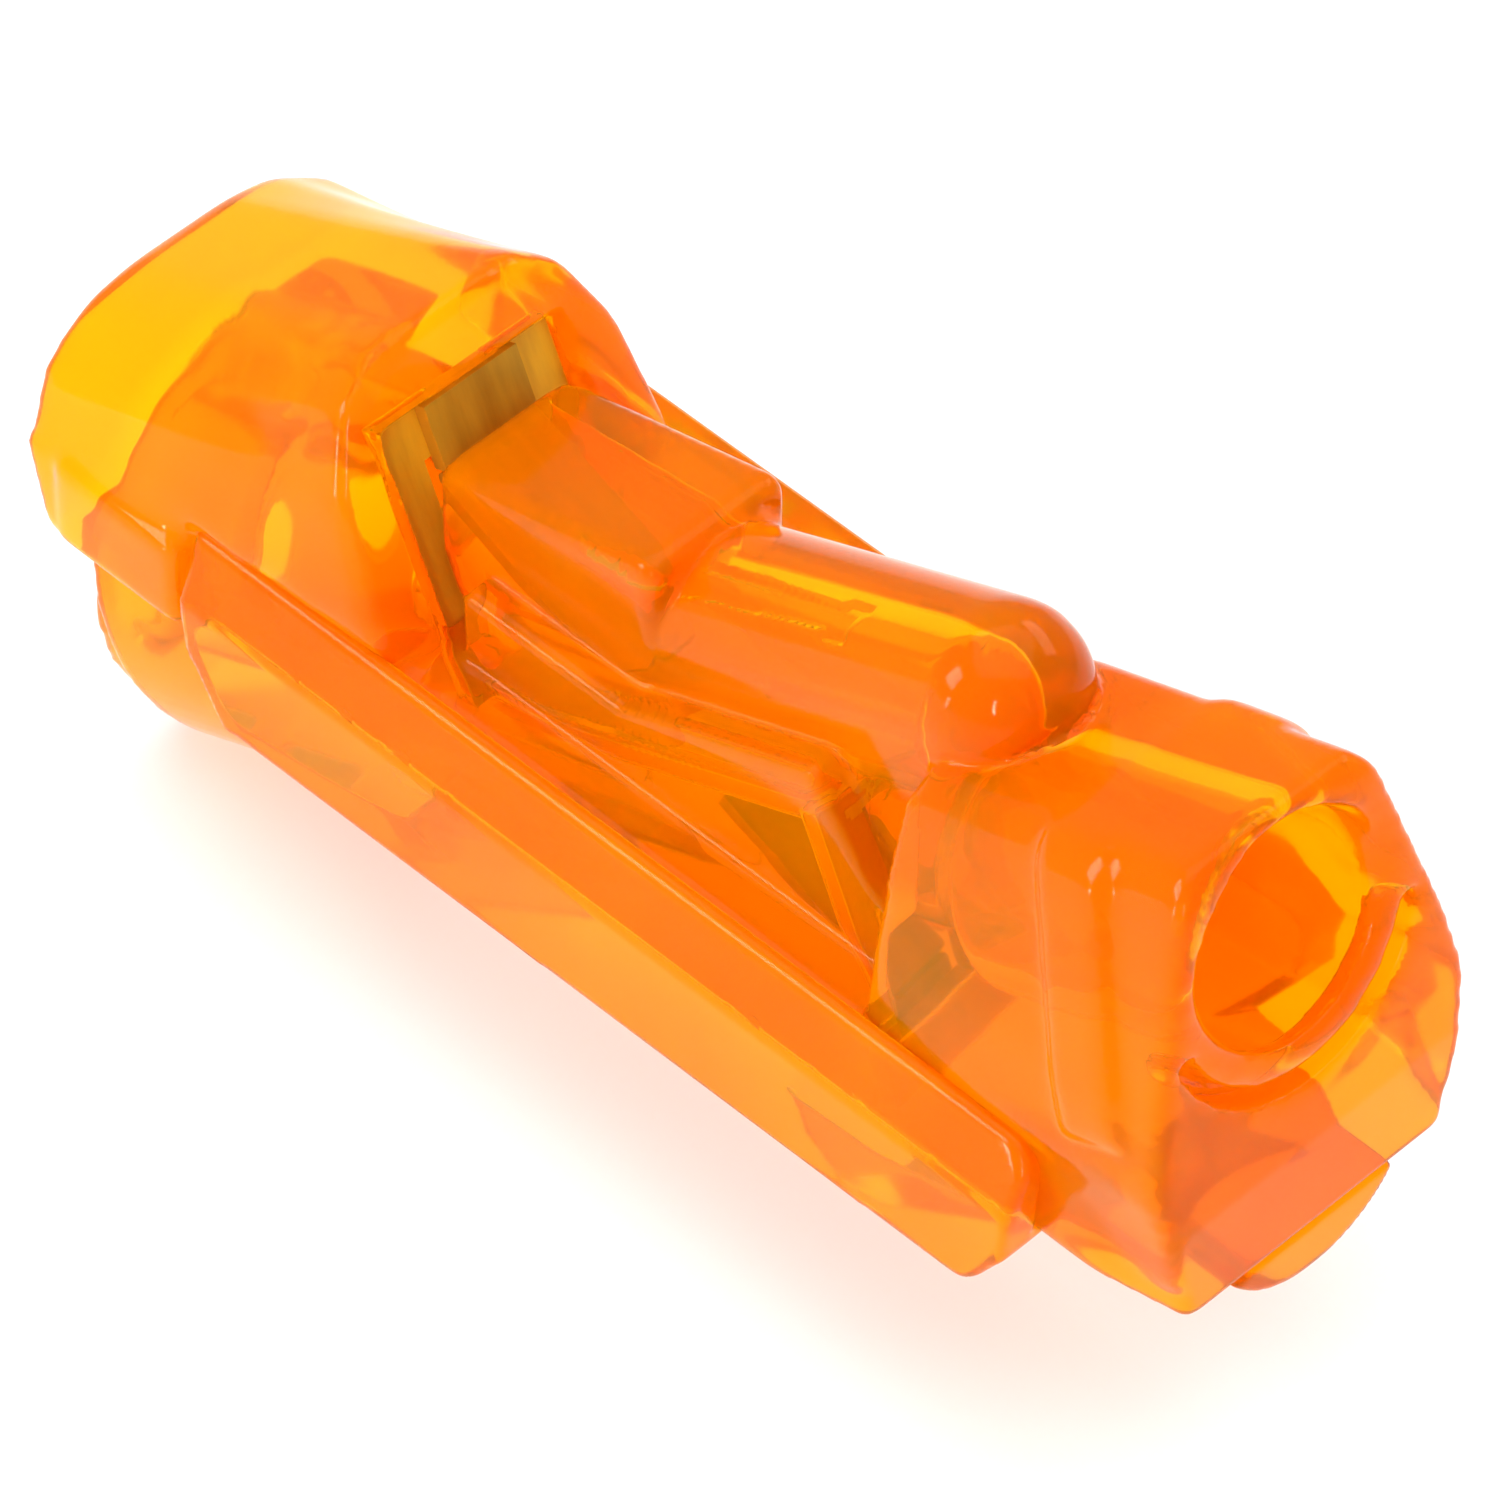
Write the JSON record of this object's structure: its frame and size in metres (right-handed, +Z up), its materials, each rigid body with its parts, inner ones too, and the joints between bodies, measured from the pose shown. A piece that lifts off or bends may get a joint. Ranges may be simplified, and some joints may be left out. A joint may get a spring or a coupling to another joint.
{
  "type": "push-in wire splice connector",
  "caption": "Clear amber in-line push-in splice connector for electrical wires: two-shell housing with a port at either end and a metal contact clip with sprung tongues inside.",
  "frame": {"origin": "centre of the overall bounding box", "axes": "X along the body with the near port at +X, Y across the body, Z up; both wire channels climb 24 degrees from X towards Z"},
  "size_m": [0.0264, 0.0082, 0.0144],
  "materials": {
    "amber_shell": "clear moulded amber plastic, glossy",
    "contact_metal": "stamped copper alloy strip, dull",
    "spring_steel": "bare spring steel strip"
  },
  "bodies": {
    "housing": {"upper_housing": "amber_shell", "lower_housing": "amber_shell", "contact_plate": "contact_metal", "far_spring_clip": "spring_steel", "near_spring_clip": "spring_steel"},
    "far_tongue": {"far_spring_tongue": "spring_steel"},
    "near_tongue": {"near_spring_tongue": "spring_steel"}
  },
  "joints": [
    {"name": "far_tongue_hinge", "type": "hinge", "parent": "housing", "child": "far_tongue", "pos_m": [-0.00558, 0, 0.00258], "axis": [0, -1, 0], "range_deg": [0, 24], "stiffness_Nm_per_rad": 0.0006},
    {"name": "near_tongue_hinge", "type": "hinge", "parent": "housing", "child": "near_tongue", "pos_m": [0.0052, 0, -0.00148], "axis": [0, -1, 0], "range_deg": [0, 24], "stiffness_Nm_per_rad": 0.0006}
  ]
}
